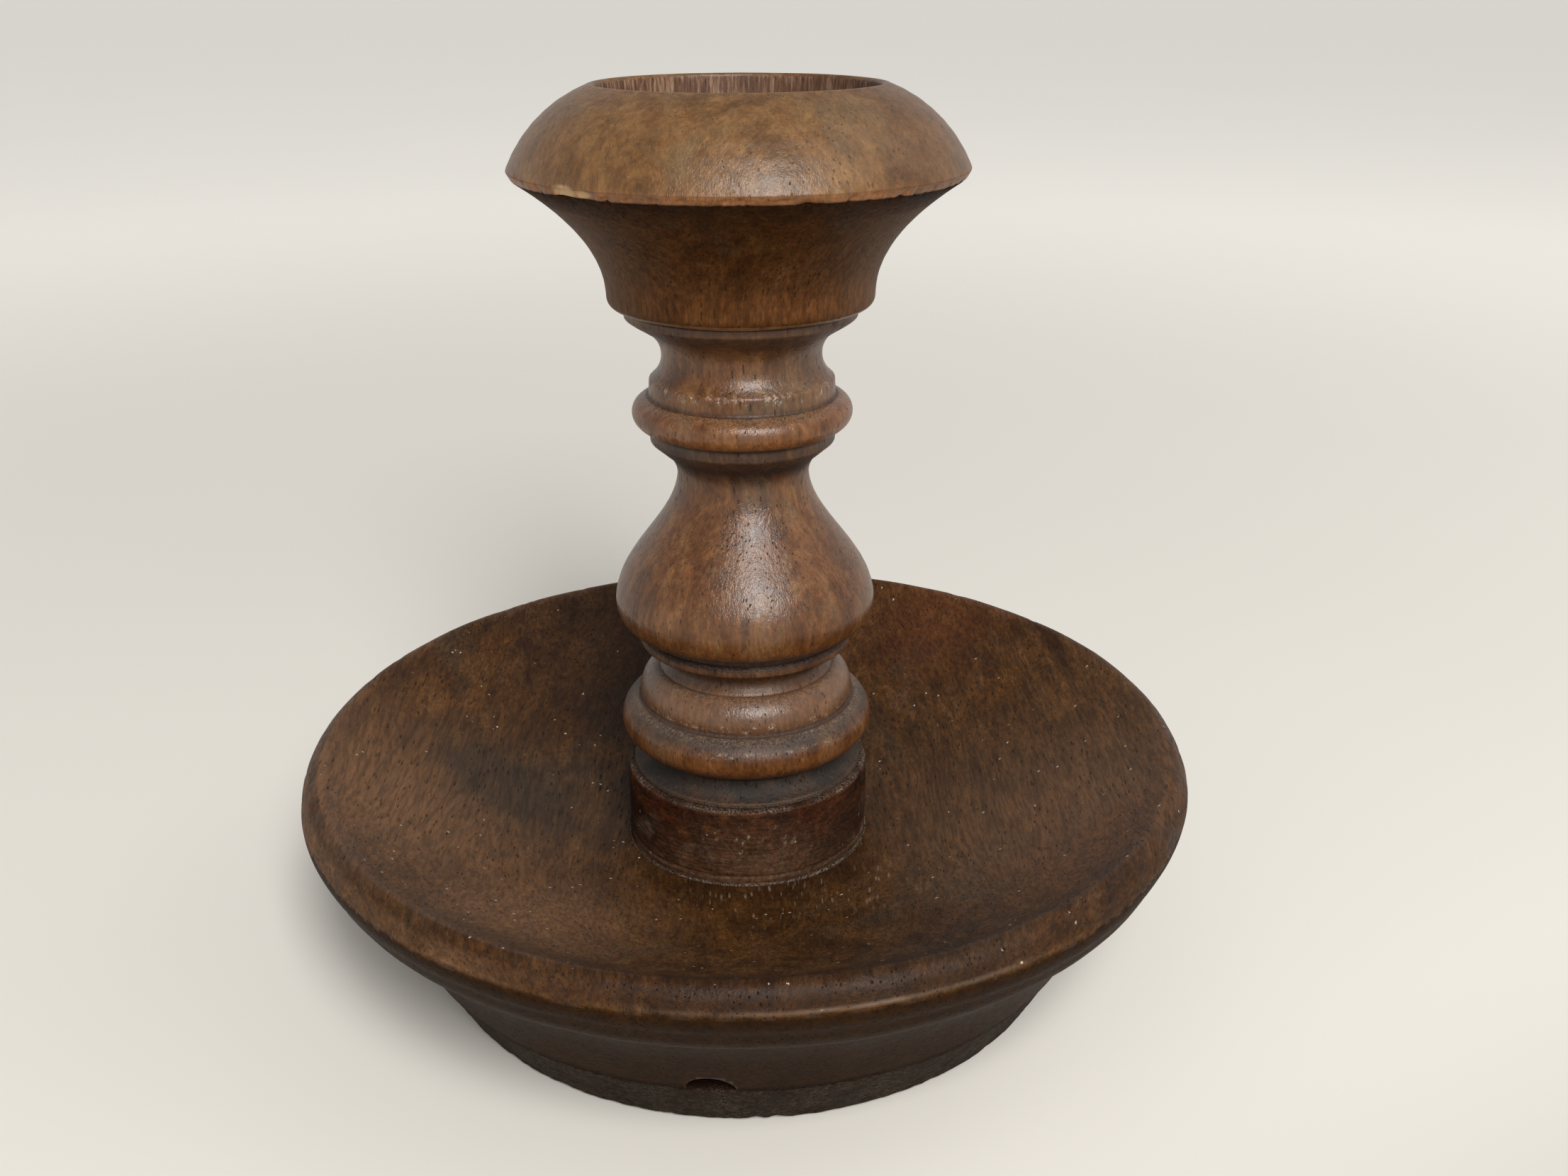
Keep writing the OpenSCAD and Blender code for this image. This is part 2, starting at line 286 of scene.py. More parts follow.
def turned(name, node, slices, fine, coarse, edge, shape):
    """Revolves a node's outline as a dense mesh that stands for the node. Sharp corners get rounded
    by about edge mm. The rows are fine mm apart where the outline bends and coarse mm where it runs
    straight. shape(v) moves the points along their normals, in mm, and gives the material's masks."""
    points, closed = OUTLINES[node]
    curve = blur(smooth_curve(points, closed), closed, edge)
    normals = normals_of(curve, closed)
    bend = bend_of(curve, closed, 0.5)
    sample = slice(None, None, 5)
    shelter = shelter_of(curve[sample], normals[sample], node)
    at = np.arange(len(curve))
    shelter = np.interp(at, at[sample], shelter)
    busy = blur(np.abs(bend), closed, 0.8)
    gap = fine + (coarse - fine) * np.exp(-busy * 9)
    gap = np.where(shelter > BURIED, BURIED_GAP, gap)
    count = np.r_[0, np.cumsum(STEP / (0.5 * (gap[1:] + gap[:-1])))]
    if closed:
        total = count[-1] + STEP / gap[0]
        m = int(math.ceil(total))
        picks = np.interp(np.arange(m) * total / m, np.r_[count, total], np.r_[at, len(at)])
    else:
        m = int(math.ceil(count[-1])) + 1
        picks = np.interp(np.linspace(0, count[-1], m), count, at)

    def pick(values):
        if closed:
            values = np.r_[values, values[:1]]
        low = np.minimum(picks.astype(int), len(values) - 2)
        t = (picks - low).reshape((-1,) + (1,) * (values.ndim - 1))
        return values[low] * (1 - t) + values[low + 1] * t

    P, N = pick(curve), pick(normals)
    N = N / np.hypot(*N.T)[:, None]
    row = {"bend": pick(bend), "shelter": pick(shelter), "along": picks * STEP}
    angle = 2 * math.pi * np.arange(slices) / slices - math.pi / 2
    c, s = np.cos(angle), np.sin(angle)
    co = np.stack([np.outer(P[:, 0], c), np.outer(P[:, 0], s), np.repeat(P[:, 1:], slices, 1)], 2)
    no = np.stack([np.outer(N[:, 0], c), np.outer(N[:, 0], s), np.repeat(N[:, 1:], slices, 1)], 2)
    v = {k: np.repeat(x, slices) for k, x in row.items()}
    v["p"] = co.reshape(-1, 3)
    v["r"], v["z"] = np.repeat(P[:, 0], slices), np.repeat(P[:, 1], slices)
    v["nr"], v["nz"] = np.repeat(N[:, 0], slices), np.repeat(N[:, 1], slices)
    v["angle"] = np.tile(np.degrees(angle) + 90, m)      # 0 at the front, growing towards +X
    v["angle"] = (v["angle"] + 180) % 360 - 180
    move, masks = shape(v)
    # faces that meet another piece, and the poles, stay where the CAD has them
    move = move * (1 - ramp(v["shelter"], 0.85, BURIED)) * ramp(v["r"], 0.5, 4)
    moved = v["p"] + no.reshape(-1, 3) * move[:, None]
    low, high = [np.array(x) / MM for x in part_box(node)]
    moved = np.clip(moved, low, high)
    ids = np.arange(m * slices).reshape(m, slices)
    quads = []
    last = m if closed else m - 1
    for i in range(last):
        a, b = ids[i], ids[(i + 1) % m]
        quads.append(np.c_[a, np.roll(a, -1), np.roll(b, -1), b])
    quads = np.concatenate(quads)
    mesh = bpy.data.meshes.new(name)
    mesh.from_pydata((moved * MM).tolist(), [], quads.tolist())
    for key, value in masks.items():
        layer = mesh.attributes.new(key, "FLOAT", "POINT")
        layer.data.foreach_set("value", np.clip(value, 0, 1).astype(np.float32))
    obj = bpy.data.objects.new(name, mesh)
    bpy.context.scene.collection.objects.link(obj)
    bm = bmesh.new()
    bm.from_mesh(mesh)
    if not closed:
        poles = [w for w in bm.verts if w.co.x**2 + w.co.y**2 < 1e-12]
        bmesh.ops.remove_doubles(bm, verts=poles, dist=1e-5)
    if bm.calc_volume(signed=True) < 0:
        bmesh.ops.reverse_faces(bm, faces=bm.faces[:])
    for f in bm.faces:
        f.smooth = True
    bm.to_mesh(mesh)
    bm.free()
    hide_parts(node)
    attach(obj, "root")
    return obj


def dents(v, seed, count, where, size, depth):
    """Small worn dents at seeded places where the mask `where` is set: how far they move each point."""
    rng = np.random.default_rng(seed)
    candidates = np.flatnonzero(where)
    move = np.zeros(len(where))
    for centre in rng.choice(candidates, count):
        radius = size * rng.uniform(0.5, 1.5)
        deep = depth * rng.uniform(0.3, 1.0)
        stretch = rng.uniform(0.6, 1.6)
        d = v["p"] - v["p"][centre]
        around = np.flatnonzero(np.abs(d).max(axis=1) < 2.5 * radius)
        q = d[around] * [1 / stretch, 1 / stretch, stretch]
        q = np.linalg.norm(q, axis=1) / radius
        move[around] -= deep * np.exp(-q**2 * 2)
    return move


def spot(v, angle, r, z, wide, high):
    """A soft round mask about a place given by its angle from the front, radius and height."""
    a = math.radians(angle - 90)
    d = v["p"] - [r * math.cos(a), r * math.sin(a), z]
    return np.exp(-(np.hypot(d[:, 0], d[:, 1]) / wide) ** 2 - (d[:, 2] / high) ** 2)


def common(v, seed, wander, ripple):
    """Small unevenness that every turned piece has, and its masks for wear, for grime and painted shade in
    sheltered hollows, and for patchiness.
    """
    move = wander * noise(v["p"], 22.0, seed, 2) + ripple * noise(v["p"], 3.0, seed + 5, 2)
    # the turning tool's fine lines
    along = v["along"] + 0.2 * noise(v["p"], 14.0, seed + 3)
    flat = np.zeros(len(along))
    move += 0.012 * noise(np.c_[flat, along, flat], 0.7, seed + 4, 2)
    patch = 0.5 + 0.5 * noise(v["p"], 6.0, seed + 9, 3)
    wear = ramp(v["bend"], 0.10, 0.75) * (0.55 + 0.6 * patch) * (1 - ramp(v["shelter"], 0.25, 0.6))
    # darker in sheltered places and in hollows: grime, and painted shade
    grime_and_shade = ramp(v["shelter"], 0.22, 0.62) + 0.8 * ramp(-v["bend"], 0.15, 0.9)
    return move, wear, np.clip(grime_and_shade, 0, 1), patch


def near(x, centre, half):
    """A soft band: 1 at the centre, fading out over about half on each side."""
    return np.exp(-((x - centre) / half) ** 2)


def cup_shape(v):
    move, wear, grime_and_shade, patch = common(v, 11, 0.10, 0.012)
    below = COLLAR_LOW - v["z"]
    outside = v["r"] > BORE_R + 3
    cove = v["r"] > COVE_R
    edge_r, chip_r = 44, 46.6    # inside the collar's lower edge, and just inside its widest line
    # the collar's lower edge, nibbled all round
    edge = near(below, -0.6, 1.1) * (v["r"] > edge_r)
    nibble = ramp(noise(v["p"] * [1, 1, 0.6], 1.1, 31, 3), 0.0, 0.9)
    move -= 0.30 * nibble * edge
    move += dents(v, 5, 60, edge > 0.3, 1.2, 0.45)
    chip = spot(v, -44, chip_r, COLLAR_LOW + 0.9, 3.4, 1.5)
    chip = np.maximum(chip, 0.8 * spot(v, -38, chip_r, COLLAR_LOW + 0.8, 2.6, 1.1))
    move -= 0.75 * chip
    # torn grain down the wall of the bore
    bore = (v["r"] < BORE_R + 0.4) & (v["z"] < TOP_Z - 0.5) & (v["z"] > TOP_Z - 26)
    tear = noise(np.c_[v["angle"] * 0.5, np.zeros(len(move)), v["z"] * 0.06], 0.55, 3, 2)
    move -= 0.16 * ramp(tear, 0.1, 1.0) * bore
    foot = near(v["z"], STEM_TOP + 4.5, 3.6) * cove
    worn = 0.75 * edge * (0.6 + 0.6 * patch) + 0.05 * wear * outside + 0.65 * foot * patch
    # painted shade just under the collar's lower edge, fading downwards
    shaded = np.where(below > 0, np.exp(-below / 3.2), 0) * (v["r"] > 30)
    return move, {"wear": worn, "grime_and_shade": np.maximum(grime_and_shade, shaded),
                  "chip": ramp(chip, 0.25, 0.7), "special": bore * 1.0,
                  # painted shade on the collar's right side
                  "right": ramp(v["angle"], 20, 60) * (below < 0) * (v["angle"] < 160),
                  # painted reflection on both sides of the cove
                  "side": ramp(np.abs(v["angle"]), 25, 75) * (below > 4) * cove,
                  "under": (below > 0.1) & cove}


def stem_shape(v):
    move, wear, grime_and_shade, patch = common(v, 23, 0.08, 0.010)
    down = v["z"] - STEM_TOP
    up = v["z"] - HUB_TOP
    # heights of the mouldings, in mm, counted from the stem's top
    fillet, ring_arris, ring_top, ring_nose, ring_foot, bulb_neck = -3.4, -15.9, -21.2, -25.0, -28.6, -32.2
    bulb, bulb_low, bulb_foot, bulb_groove, shoulder_top = -62, -69.5, -71.9, -76.0, -80.0
    # and these from the hub's top
    cove, torus_nose, torus_top, torus_groove = 3.0, 9.6, 14.0, 15.9
    arris, glint_height, shoulder = 17.6, 18.4, 21.0
    # the crisp arrises over the ring and over the torus, with torn fibre along them
    line = np.maximum(near(down, ring_arris, 0.9), near(up, arris, 0.9)) * (v["bend"] > 0)
    tear = ramp(noise(v["p"] * [1, 1, 0.35], 0.8, 41, 2), 0.2, 0.8)
    move -= 0.22 * line * tear
    move += dents(v, 8, 60, (v["bend"] > 0.25) & (v["shelter"] < 0.5), 0.9, 0.22)
    move += dents(v, 9, 24, (np.abs(down - bulb) < 14) & (v["r"] > 22), 0.8, 0.10)
    # short furrows across the noses of the ring and the torus
    ring = near(down, ring_nose, 2.0) * (v["r"] > 21)
    torus = near(up, torus_nose, 2.4) * (v["r"] > 25)
    furrow = ramp(noise(v["p"] * [1, 1, 0.12], 0.7, 47, 2), 0.1, 0.9)
    move -= 0.10 * furrow * np.maximum(ring, torus)
    low_bulb = near(down, bulb_low, 2.2) * (v["r"] > 23.5)
    nose = np.maximum(np.maximum(ring, 0.8 * torus), 0.25 * low_bulb)
    worn = np.maximum(wear * 0.18, nose * (0.45 + 0.6 * patch))
    worn = np.maximum(worn, 0.5 * near(down, ring_top, 1.6) * patch)
    # painted shade in the deep hollows: under the ring, under the cup, below the bulb and over the shoulder;
    # at the neck under the ring partly a dark stain too
    deep = np.maximum(near(down, bulb_neck, 2.8), 0.7 * near(down, fillet, 3.2))
    deep = np.maximum(deep, near(down, bulb_foot, 1.2))
    deep = np.maximum(deep, 0.45 * near(down, shoulder_top, 2.6))
    dirt = np.maximum(near(up, cove, 4.4) * (up > 0), 0.8 * near(up, torus_groove, 1.7))
    dirt = np.maximum(dirt, np.maximum(0.5 * near(down, ring_foot, 2.0), 0.45 * near(down, bulb_groove, 1.3)))
    ledges = ramp(v["nz"], 0.6, 0.95) * (v["bend"] > -0.3) * (up > 5)
    dust_and_glint = line * tear + 0.2 * ledges + 0.3 * near(up, 0.0, 0.5)
    # painted glints: short bright specks on the front of the lower arris and of the torus
    glint_specks = ramp(noise(v["p"] * [0.5, 0.5, 1], 0.9, 44, 2), 0.35, 0.6) * near(v["angle"], 4, 34)
    places = np.maximum(near(up, glint_height, 0.9), 0.8 * near(up, torus_top, 0.5)) * (v["r"] > 20)
    dust_and_glint = dust_and_glint + 1.2 * glint_specks * places
    return move, {"wear": worn, "grime_and_shade": np.maximum(grime_and_shade, deep), "dust_and_glint": np.clip(dust_and_glint, 0, 1),
                  "soot": dirt * (0.7 + 0.5 * patch),
                  "special": near(up, shoulder, 4.0) * np.clip(0.6 + 0.5 * patch, 0, 1)}


def hub_shape(v):
    move, wear, grime_and_shade, patch = common(v, 37, 0.10, 0.03)
    up = v["z"] - BOWL_Z
    move += dents(v, 12, 30, (v["bend"] > 0.2) & (v["z"] > HUB_TOP - 2), 1.2, 0.25)
    move += dents(v, 13, 16, (v["r"] > HUB_R - 0.3) & (v["z"] < HUB_TOP - 3) & (up > 3), 1.2, 0.18)
    rim = near(v["z"], HUB_TOP - 0.2, 0.45) * (v["r"] > HUB_R - 2)
    grey = np.maximum(spot(v, 10, HUB_R, HUB_TOP - 12, 24, 8), 0.8 * near(up, 2.0, 2.2))
    grey = grey * np.clip(0.5 + 0.7 * patch, 0, 1)
    stain = spot(v, 48, HUB_R, HUB_TOP - 10, 11, 7) * np.clip(0.4 + patch, 0, 1)
    top = ramp(v["nz"], 0.4, 0.9) * (v["z"] > HUB_TOP - 2)
    chips = ramp(noise(v["p"] * [1, 1, 0.8], 0.8, 57, 2), 0.55, 0.8) * spot(v, 2, HUB_R, HUB_TOP - 7.5, 9, 4)
    dust_and_glint = np.maximum(near(up, 0, 0.4) * 0.6, np.maximum(0.5 * rim * patch, chips))
    return move, {"wear": 0.08 * wear, "grime_and_shade": np.maximum(0.5 * grime_and_shade, 0.9 * top),
                  "dust_and_glint": np.clip(dust_and_glint, 0, 1), "special": grey, "stain": stain}


def dish_shape(v):
    move, _, grime_and_shade, patch = common(v, 51, 0.22, 0.02)
    edge = (v["r"] > DISH_R - 6) & (v["nz"] > -0.1) & (v["z"] > LIP_Z - 1)
    move += dents(v, 21, 110, edge, 1.6, 0.26)
    bowl = (v["nz"] > 0.5) & (v["r"] < DISH_R - 4)
    move += dents(v, 22, 40, bowl & (v["r"] > HUB_R + 4), 1.6, 0.12)
    move -= 0.9 * spot(v, 49, DISH_R - 2.0, LIP_Z + 4.0, 1.2, 1.8)
    rim = v["r"] > DISH_R - 2
    # a shallow turned line round the lip leaves a crisp edge below it, and the edge is nibbled
    move -= 0.24 * near(v["z"], LIP_Z + 2.3, 0.75) * rim
    arris = near(v["z"], LIP_Z + 0.8, 0.55) * rim
    nibble = ramp(noise(v["p"] * [1, 1, 0.7], 1.4, 63, 3), 0.1, 0.9)
    move -= 0.16 * arris * nibble
    # the worn band from the crest down to that edge, weaker in front
    front = near(v["angle"], 8, 50)
    band = ramp(v["r"], DISH_R - 2.1, DISH_R - 1.0) * ramp(v["z"], LIP_Z + 0.2, LIP_Z + 1.2)
    wander = 0.62 - 0.3 * front + 0.55 * noise(v["p"], 9.0, 61, 3) + 0.25 * noise(v["p"], 2.4, 66, 2)
    band = band * np.clip(wander, 0, 1)
    # painted soft highlight: a pale band along the crest, away from the front
    crest = near(v["r"], DISH_R - 4.0, 1.5) * (v["z"] > LIP_Z + 3) * (1 - front)
    crest = crest * np.clip(0.5 + 0.6 * noise(v["p"], 16.0, 68, 2), 0, 1)
    # painted glint: a thin pale line along the front of the lip's edge
    rub = near(v["z"], LIP_Z + 1.1, 0.24) * rim * near(v["angle"], 12, 15) * np.clip(0.1 + 0.8 * patch, 0, 1)
    # a pale line along the step under the lip: painted reflection
    step = near(v["r"], DISH_R - 4.6, 0.8) * near(v["z"], LIP_Z - 9.9, 0.7)
    foot = ramp(-v["r"], -(HUB_R + 0.6), -(HUB_R + 0.1)) * (np.abs(v["z"] - BOWL_Z) < 0.8)
    # painted shadow: a dark line just under the skirt's edge, over the foot ring
    skirt_shadow = near(v["z"], FOOT_TOP + 0.2, 0.9) * (v["r"] > 60)
    # painted shade round the foot of the hub, with pale dust in the bowl's pores in front of it and to the
    # right
    hub_shade = ramp(-v["r"], -(HUB_R + 13), -(HUB_R + 1)) * bowl
    dusty = np.maximum(spot(v, 2, HUB_R + 7, BOWL_Z + 2, 13, 30),
                       spot(v, 34, HUB_R + 11, BOWL_Z + 3, 12, 30))
    dusty = dusty * bowl * np.clip(0.3 + 0.9 * patch, 0, 1)
    # painted light on the bowl's left and right walls, charcoal stains in it, and a painted shadow behind the
    # stem
    pale = bowl * np.maximum(spot(v, -78, 80, 42, 36, 40), 0.9 * spot(v, -38, 72, 38, 26, 40))
    pale = np.maximum(pale, 0.75 * bowl * spot(v, 76, 72, 38, 34, 40))
    pale = np.maximum(pale, band * ramp(-v["angle"], 8, 34) * np.clip(0.7 + patch, 0, 1))
    stain = 1.5 * spot(v, -97, 62, 36, 15, 40) + 0.6 * spot(v, -88, 44, 32, 12, 40)
    stain = stain + 0.4 * spot(v, 87, 64, 36, 22, 40)
    stain = np.clip(stain * (0.5 + 0.8 * patch), 0, 1) * bowl
    dark = bowl * np.maximum(spot(v, -150, 66, 38, 32, 40), 0.4 * spot(v, 100, 52, 36, 20, 40))
    # painted shade along the front of the crest and just above the lip's edge in front; a dark line along the
    # nibbled edge
    inner = ramp(v["r"], DISH_R - 16, DISH_R - 6) * ramp(-v["r"], -(DISH_R - 1.2), -(DISH_R - 2.2))
    dark = np.maximum(dark, 0.75 * inner * front * (v["z"] > LIP_Z + 1))
    dark = np.maximum(dark, 0.85 * ramp(v["z"], LIP_Z + 1.2, LIP_Z + 2.0) * rim * front)
    dark = np.maximum(dark, 0.7 * arris * nibble)
    dark = np.maximum(dark, spot(v, -5, 68, 38, 2.2, 40))
    red = bowl * np.maximum(spot(v, 143, 90, 40, 18, 40), 0.6 * spot(v, 60, 86, 40, 20, 40))
    return move, {"wear": band, "grime_and_shade": np.maximum(grime_and_shade * ~bowl, skirt_shadow),
                  "dust_and_glint": np.clip(0.8 * foot, 0, 1), "step": step, "special": hub_shade, "dusty": dusty,
                  "rub": rub, "crest": crest, "pale": pale, "stain": stain, "dark": dark, "red": red,
                  # the underside darker: painted shade, with some dirt
                  "under": ramp(-v["nz"], -0.14, 0.02)}


def foot_shape(v):
    move, _, grime_and_shade, patch = common(v, 71, 0.12, 0.05)
    rough = noise(np.c_[v["angle"] * 0.9, np.zeros(len(move)), v["z"] * 1.1], 1.0, 77, 2)
    side = ramp(v["nr"], 0.2, 0.7)
    move += 0.09 * rough * side
    move += dents(v, 25, 30, (v["nr"] > 0.5) & (v["z"] < 3), 1.6, 0.5)
    # painted shadow along the ring's top, under the dish's skirt
    return move, {"grime_and_shade": np.maximum(grime_and_shade, near(v["z"], FOOT_TOP, 0.7)),
                  "dust_and_glint": 0.1 * patch, "special": side}


# ---------------------------------------------------------------- places, in mm, worked out from the frame

BOX = {n: [np.array(x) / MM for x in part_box(n)] for n in NODE_MESH}
TOP_Z = BOX["candle_cup"][1][2]
STEM_TOP = BOX["candle_cup"][0][2]
HUB_TOP = BOX["hub"][1][2]
HUB_R = BOX["hub"][1][0]
DISH_R = BOX["drip_dish"][1][0]
FOOT_TOP = BOX["foot_ring"][1][2]
dish_r, dish_z = OUTLINES["drip_dish"][0].T
BOWL_Z = dish_z[(np.abs(dish_r - HUB_R) < 0.3) & (dish_z > FOOT_TOP + 5)].max()
LIP_Z = dish_z[np.abs(dish_r - DISH_R) < 0.05].mean()
cup_r, cup_z = OUTLINES["candle_cup"][0].T
BORE_R = cup_r[(cup_z > TOP_Z - 30) & (cup_r < cup_r.max() * 0.65)].max()
COLLAR_LOW = cup_z[(cup_z < cup_z[cup_r.argmax()] - 0.5) & (cup_r > 35)].max()
COVE_R = 27.5    # the cove under the collar lies outside this radius

cup = turned("cup_wood", "candle_cup", 520, 0.30, 0.85, 0.22, cup_shape)
stem = turned("stem_wood", "stem", 380, 0.26, 0.75, 0.20, stem_shape)
hub = turned("hub_wood", "hub", 320, 0.28, 0.8, 0.14, hub_shape)
dish = turned("dish_wood", "drip_dish", 720, 0.45, 1.25, 0.30, dish_shape)
foot = turned("foot_wood", "foot_ring", 560, 0.40, 1.1, 0.35, foot_shape)


def cut_notch():
    """Cuts the half-round cord notch into the dish's skirt, where the CAD dish has it."""
    co = np.array([w.co for w in NODE_MESH["drip_dish"].vertices]) / MM
    r = np.hypot(co[:, 0], co[:, 1])
    corners = LOOPS["drip_dish"]
    d = np.array([np.hypot(*(corners - q).T).min() for q in np.c_[r, co[:, 2]]])
    own = co[(d > 0.3) & (co[:, 2] < FOOT_TOP + 9) & (r > 40)]
    middle = own[:, :2].mean(axis=0)
    out = middle / np.hypot(*middle)
    side = np.array([-out[1], out[0]])
    radius = np.abs(own[:, :2] @ side).max()
    reach = own[:, :2] @ out
    around, along = 56, 24
    bm = bmesh.new()
    rings = []
    for x in np.linspace(reach.min(), reach.max() + 4, along):
        ring = []
        for k in range(around):
            a = 2 * math.pi * k / around
            # a filed half round, a little uneven along its length
            w = radius * (1 + 0.025 * math.sin(3 * a + x * 0.4))
            h = radius * (0.98 + 0.02 * math.cos(2 * a - x * 0.3))
            q = out * x + side * (w * math.cos(a))
            ring.append(bm.verts.new((q[0] * MM, q[1] * MM, (FOOT_TOP + h * math.sin(a)) * MM)))
        rings.append(ring)
    for p, q in zip(rings, rings[1:]):
        for k in range(around):
            bm.faces.new((p[k], p[(k + 1) % around], q[(k + 1) % around], q[k]))
    bm.faces.new(rings[0][::-1])
    bm.faces.new(rings[-1])
    bmesh.ops.recalc_face_normals(bm, faces=bm.faces[:])
    mesh = bpy.data.meshes.new("notch_cutter")
    bm.to_mesh(mesh)
    bm.free()
    cutter = bpy.data.objects.new("notch_cutter", mesh)
    bpy.context.scene.collection.objects.link(cutter)
    cut = dish.modifiers.new("notch", "BOOLEAN")
    cut.operation = "DIFFERENCE"
    cut.solver = "MANIFOLD"
    cut.object = cutter
    bpy.context.view_layer.update()
    result = bpy.data.meshes.new_from_object(dish.evaluated_get(bpy.context.evaluated_depsgraph_get()))
    dish.modifiers.clear()
    dish.data = result
    result.name = "dish_wood"
    bpy.data.objects.remove(cutter)
    for f in result.polygons:
        f.use_smooth = True
    result.set_sharp_from_angle(angle=math.radians(50))


cut_notch()


# ---------------------------------------------------------------- materials

class Graph:
    """Short words for building a material's nodes. Inputs are sockets, numbers or colours."""

    def __init__(self, name, tree=None):
        self.material = None
        if tree is None:
            self.material = bpy.data.materials.new(name)
            self.material.use_nodes = True
            tree = self.material.node_tree
        tree.nodes.clear()
        self.tree = tree
        self.count = 0

    def node(self, kind, inputs=(), **props):
        n = self.tree.nodes.new(kind)
        n.location = (220 * (self.count % 12), -260 * (self.count // 12))
        self.count += 1
        for key, value in props.items():
            setattr(n, key, value)
        for key, value in dict(inputs).items():
            self.put(n.inputs[key], value)
        return n

    def put(self, socket, value):
        if isinstance(value, bpy.types.NodeSocket):
            self.tree.links.new(value, socket)
        elif isinstance(value, (tuple, list)) and len(value) == 3 and socket.type == "RGBA":
            socket.default_value = (*value, 1)
        else:
            socket.default_value = value

    def millimetres(self):
        return self.scale(self.node("ShaderNodeTexCoord").outputs["Object"], MM_PER_M)

    def math(self, op, a, b, clamp=False):
        return self.node("ShaderNodeMath", {0: a, 1: b}, operation=op, use_clamp=clamp).outputs[0]

    def mul(self, a, b):
        return self.math("MULTIPLY", a, b)

    def add(self, a, b):
        return self.math("ADD", a, b)

    def vector(self, op, a, b):
        return self.node("ShaderNodeVectorMath", {0: a, 1: b}, operation=op).outputs[0]

    def scale(self, vector, factors):
        return self.vector("MULTIPLY", vector, factors)

    def noise(self, vector, scale, detail=2.0, rough=0.5, warp=0.0):
        n = self.node("ShaderNodeTexNoise", {"Vector": vector, "Scale": scale, "Detail": detail,
                                             "Roughness": rough, "Distortion": warp})
        return n.outputs["Fac"]

    def cells(self, vector, scale):
        return self.node("ShaderNodeTexVoronoi", {"Vector": vector, "Scale": scale})

    def step(self, value, low, high, to_low=0.0, to_high=1.0):
        ends = {"Value": value, "From Min": low, "From Max": high, "To Min": to_low, "To Max": to_high}
        return self.node("ShaderNodeMapRange", ends, interpolation_type="SMOOTHSTEP").outputs[0]

    def mix(self, fac, a, b):
        n = self.node("ShaderNodeMix", data_type="RGBA", clamp_factor=True)
        self.put(n.inputs["Factor"], fac)
        self.put(n.inputs[6], a)
        self.put(n.inputs[7], b)
        return n.outputs[2]

    def colours(self, fac, *stops):
        n = self.node("ShaderNodeValToRGB", {"Fac": fac})
        elements = n.color_ramp.elements
        while len(elements) < len(stops):
            elements.new(0.5)
        for element, (place, colour) in zip(elements, stops):
            element.position = place
            element.color = (*colour, 1)
        return n.outputs["Color"]

    def rgb(self, colour):
        n = self.node("ShaderNodeRGB")
        n.outputs[0].default_value = (*colour, 1)
        return n.outputs[0]

    def mask(self, name):
        return self.node("ShaderNodeAttribute", attribute_name=name).outputs["Fac"]


def srgb(r, g, b):
    """A display colour, given as 0 to 255 values, as linear light."""
    def f(v):
        v /= 255
        return v / 12.92 if v <= 0.04045 else ((v + 0.055) / 1.055) ** 2.4
    return (f(r), f(g), f(b))


